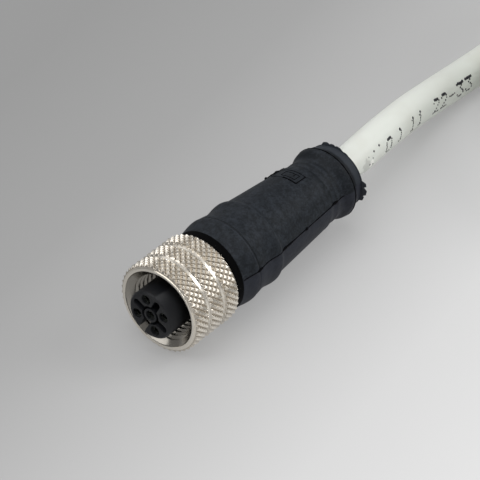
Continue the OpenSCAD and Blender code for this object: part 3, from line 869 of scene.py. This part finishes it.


# dark lines on the grip: those that the mould left, and a painted shadow ring under the bell's rim; girth is
# a line's height over the surface, and a blob is (along, half length, extra girth)
marks = {"seam": 12.5, "seamSpan": (12.2, 39.2), "seamGirth": 0.085,
         "blobs": [(15.9, 0.7, 0.2), (22.9, 1.3, 0.16), (24.4, 0.5, 0.12), (28.6, 0.35, 0.16),
                   (36.7, 0.8, 0.16)],
         "frame": (31.9, 34.4, 77, 125), "frameGirths": (0.09, 0.06, 0.05, 0.06), "thin": 0.06,
         "inset": 0.6, "insetAngles": (7, 15), "thickCorner": (24, 0.13), "dash": (1.2, 14),
         "bellRimShadow": 41.17, "rimShadowGirth": 0.13,
         "scar": ((31.5, 136), (35.6, 133), 0.1, [(31.7, 0.3, 0.22), (32.7, 0.6, 0.12), (33.9, 0.7, 0.16)]),
         "spacing": 0.12, "perDegree": 0.11, "ragged": 1300, "raggedShare": 0.6, "sides": 8}


def markLine(start, stop, girth, blobs=()):
    # a line on the surface between two (along, angle) ends, thicker at its blobs
    span = math.hypot(stop[0] - start[0], marks["perDegree"] * (stop[1] - start[1]))
    steps = max(2, int(span / marks["spacing"]))
    line = []
    for i in range(steps + 1):
        along = start[0] + (stop[0] - start[0]) * i / steps
        angle = start[1] + (stop[1] - start[1]) * i / steps
        more = sum(extra * max(0, 1 - abs(along - middle) / half) ** 0.5 for middle, half, extra in blobs)
        line.append((along, angle, girth + more))
    return line


def markLines():
    front, back, low, high = marks["frame"]
    inset, thin = marks["inset"], marks["thin"]
    lowInset, highInset = marks["insetAngles"]
    corners = [(front, low), (back, low), (back, high), (front, high)]
    inner = [(front + inset, low + lowInset), (back - inset, low + lowInset),
             (back - inset, high - highInset), (front + inset, high - highInset)]
    lines = []
    for side, blobs in ((marks["seam"], marks["blobs"]), (marks["seam"] + 180, marks["blobs"][2:])):
        start, stop = marks["seamSpan"]
        lines.append(markLine((start, side), (stop, side), marks["seamGirth"], blobs))
    for ring, girths in ((corners, marks["frameGirths"]), (inner, [thin] * 4)):
        lines += [markLine(a, b, girth) for a, b, girth in zip(ring, ring[1:] + ring[:1], girths)]
    reach, girth = marks["thickCorner"]
    lines.append(markLine((front, low), (front, low + reach), girth))
    # a near-black ring round the bell's rim: a painted shadow where the bell overhangs the end ring
    lines.append(markLine((marks["bellRimShadow"], 0), (marks["bellRimShadow"], 360), marks["rimShadowGirth"]))
    along, angle = marks["dash"]
    lines.append(markLine((front + along, low + angle), (back - inset, low + angle), thin))
    lines.append(markLine(*marks["scar"]))
    return lines


def makeMarks():
    alongs, radii = np.array(gripEdge).T
    points, edges, girth = [], [], []
    for line in markLines():
        for i, (along, angle, thick) in enumerate(line):
            if i:
                edges.append((len(points) - 1, len(points)))
            points.append(onAxis(along, np.interp(along, alongs, radii), angle))
            girth.append(thick)
    base = newMesh("marksBase", points, edges, values={"girth": girth})
    grower = Grower("gripMarks", {"Ragged scale": marks["ragged"], "Ragged share": marks["raggedShare"],
                                  "Material": flashMoulding})
    given = grower.given
    rough = grower.node("ShaderNodeTexNoise", {"Scale": given["Ragged scale"], "Detail": 1.0})
    thick = grower.attribute("girth") * (1 + given["Ragged share"] * (2 * rough - 1)) * mm
    path = grower.node("GeometryNodeMeshToCurve", {0: given["Geometry"]})
    ring = grower.node("GeometryNodeCurvePrimitiveCircle", {"Resolution": marks["sides"], "Radius": 1.0},
                       mode="RADIUS")
    tube = grower.node("GeometryNodeCurveToMesh", {"Curve": path, "Profile Curve": ring, "Scale": thick,
                                                   "Fill Caps": True})
    placeMesh(grower.grown(tube, base, "gripMarks"), "plug")


# torn flash near the end ring's back edge: tears of (angle, half width, height)
flash = {"along": 43.72, "thick": 0.16, "inner": 5.2, "edge": 5.46, "least": 0.07, "columns": 720,
         "scale": 330, "sharp": 40, "steepness": 1.6, "notches": (0.1, 1.4),
         "tears": [(8, 7, 0.8), (-6, 11, 0.95), (-20, 9, 0.75), (111, 11, 0.75), (97, 8, 0.5), (84, 10, 0.5),
                   (68, 6, 0.4), (150, 14, 0.3), (215, 30, 0.2), (300, 25, 0.25)]}


def makeFlash():
    start, stop = flash["along"], flash["along"] + flash["thick"]
    inner, edge = flash["inner"], flash["edge"]
    rings = [(start, inner, 0), (start + 0.02, edge, 0.2), (start + 0.04, edge + 0.02, 1),
             (stop - 0.04, edge + 0.02, 1), (stop - 0.02, edge, 0.2), (stop, inner, 0)]
    base = ringMesh("flashBase", [ring[:2] for ring in rings], flash["columns"], None,
                    {"share": [ring[2] for ring in rings]})
    grower = Grower("gripFlash", {"Least": flash["least"], "Noise scale": flash["scale"],
                                  "Material": tornMoulding})
    given = grower.given
    x, y, z = grower.parts(grower.node("GeometryNodeInputPosition"))
    height = z - axisHeight
    turn = grower.maths("ARCTAN2", height, x) * (180 / math.pi)
    rough = grower.node("ShaderNodeTexNoise", {"Scale": given["Noise scale"], "Detail": 0.0})
    reach = given["Least"]
    for angle, half, tall in flash["tears"]:
        off = grower.absolute(grower.node("ShaderNodeMath", {0: turn - angle, 1: 180.0, 2: -180.0},
                                          operation="WRAP"))
        reach = grower.most(reach, grower.clamped(flash["steepness"] * (1 - off / half)) * tall)
    least, more = flash["notches"]
    reach = reach * grower.clamped(least + more * rough) * grower.attribute("share") * mm
    radius = grower.length(x, height)
    moved = grower.drawnOut(x, y, height, (radius + reach) / radius)
    placeMesh(grower.grown(moved, base, "gripFlash"), "plug", flash["sharp"])


makeGripBody()
makeMarks()
makeFlash()
print("grip made")

# the contact carrier is the frame's own form with its edges softened
carrier = {"merge": 0.0005, "flat": 1, "bevel": 0.07, "segments": 2, "bevelFrom": 50, "sharp": 35}


def makeCarrier():
    shape = bmesh.new()
    shape.from_mesh(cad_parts["contact_carrier"].data)
    bmesh.ops.remove_doubles(shape, verts=shape.verts, dist=carrier["merge"] * mm)
    bmesh.ops.dissolve_limit(shape, angle_limit=math.radians(carrier["flat"]), verts=shape.verts,
                             edges=shape.edges)
    base = bpy.data.meshes.new("carrierBase")
    shape.to_mesh(base)
    shape.free()
    base.materials.clear()
    base.materials.append(nylon)
    holder = linked("carrierBase", base)
    bevel = holder.modifiers.new("edges", "BEVEL")
    bevel.width = carrier["bevel"] * mm
    bevel.segments = carrier["segments"]
    bevel.angle_limit = math.radians(carrier["bevelFrom"])
    mesh = plainMesh(holder, "carrierBody")
    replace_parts(placeMesh(mesh, "plug", carrier["sharp"]), "contact_carrier")


makeCarrier()
print("carrier made")

# finishes on the frame's own pieces
ownFinish = {"coupling_nut": nickel, "contact_carrier": nylon, "o_ring": redRubber,
             "inner_mould": hardMoulding, "grip": gripMoulding, "cable_end": cableJacket, "lead_tips": tinned}
ownFinish.update({"contact_%d" % k: gold for k in range(1, 6)})
ownFinish.update({"core_" + name: material for name, material in coreFinish.items()})
for name, material in ownFinish.items():
    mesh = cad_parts[name].data
    mesh.materials.clear()
    mesh.materials.append(material)

# the floor's tones are a painted light gradient that runs along across, over reach metres, round the middle;
# light is what reaches the floor, bounce the floor's tone for the light that it throws back; its glow is
# painted light
stage = {"size": 6, "world": 0.24, "light": 0.97, "bounce": 0.75, "paintedGlow": 0.5, "reach": 0.1466,
         "across": (1.166, 0.153), "middle": 0.5, "tones": [154, 165, 192, 218, 231], "stops": 17}


def paintedLightStops():
    # the painted light gradient's tones across the view, from screen values to linear ones
    stops = []
    for t in np.linspace(0, 1, stage["stops"]):
        shown = np.interp(t, np.linspace(0, 1, len(stage["tones"])), stage["tones"]) / 255
        stops.append((t, gray(((shown + 0.055) / 1.055) ** 2.4)))
    return stops


def makeStage():
    half = stage["size"] / 2
    corners = [(-half, -half, 0), (half, -half, 0), (half, half, 0), (-half, half, 0)]
    mesh = newMesh("floor", corners, (), [(0, 1, 2, 3)])
    finish = Finish("floorPaper")
    x, y = finish.parts(finish.place)[:2]
    slope = (stage["across"][0] * x + stage["across"][1] * y) / stage["reach"] + stage["middle"]
    rays = finish.node("ShaderNodeLightPath").socket.node.outputs
    seen = 0
    for kind in ("Is Camera Ray", "Is Glossy Ray", "Is Transmission Ray"):
        seen = finish.most(Signal(finish, rays[kind]), seen)
    paintedLightRamp = finish.ramp(slope, paintedLightStops())
    lit = finish.scaled(paintedLightRamp, (1 - stage["paintedGlow"]) / stage["light"])
    # painted glow: the floor glows though it is no lamp, so its shadow stays soft
    paintedGlow = finish.mix(seen, gray(0), finish.scaled(paintedLightRamp, stage["paintedGlow"]))
    color = finish.mix(seen, gray(stage["bounce"]), lit)
    mesh.materials.append(finish.surface(Base_Color=color, Roughness=0.9, Specular_IOR_Level=0,
                                         Emission_Color=paintedGlow, Emission_Strength=1.0))
    floor = linked("floor", mesh)
    world = bpy.data.worlds.new("studio")
    world.use_nodes = True
    sky = world.node_tree.nodes["Background"].inputs
    sky["Color"].default_value = gray(1)
    sky["Strength"].default_value = stage["world"]
    bpy.context.scene.world = world


lamps = {"top": {"place": (-0.1, -0.1, 1.3), "size": 1.3, "power": 9.5},
         "back": {"place": (0.52, 0.62, 0.62), "size": 0.42, "power": 3},
         "side": {"place": (-0.8, 0.5, 0.6), "size": 0.6, "power": 0.9},
         "front": {"place": (-0.5, -0.7, 0.65), "size": 0.7, "power": 2.2},
         "fill": {"place": (0.75, -0.45, 0.4), "size": 0.8, "power": 1.2}}


def makeLamps():
    for name, lamp in lamps.items():
        data = bpy.data.lights.new(name, "AREA")
        data.size = lamp["size"]
        data.energy = lamp["power"]
        aimed(name, data, lamp["place"], -Vector(lamp["place"]))


makeStage()
makeLamps()
bpy.context.scene.view_settings.view_transform = "Standard"
print("floor and light made")
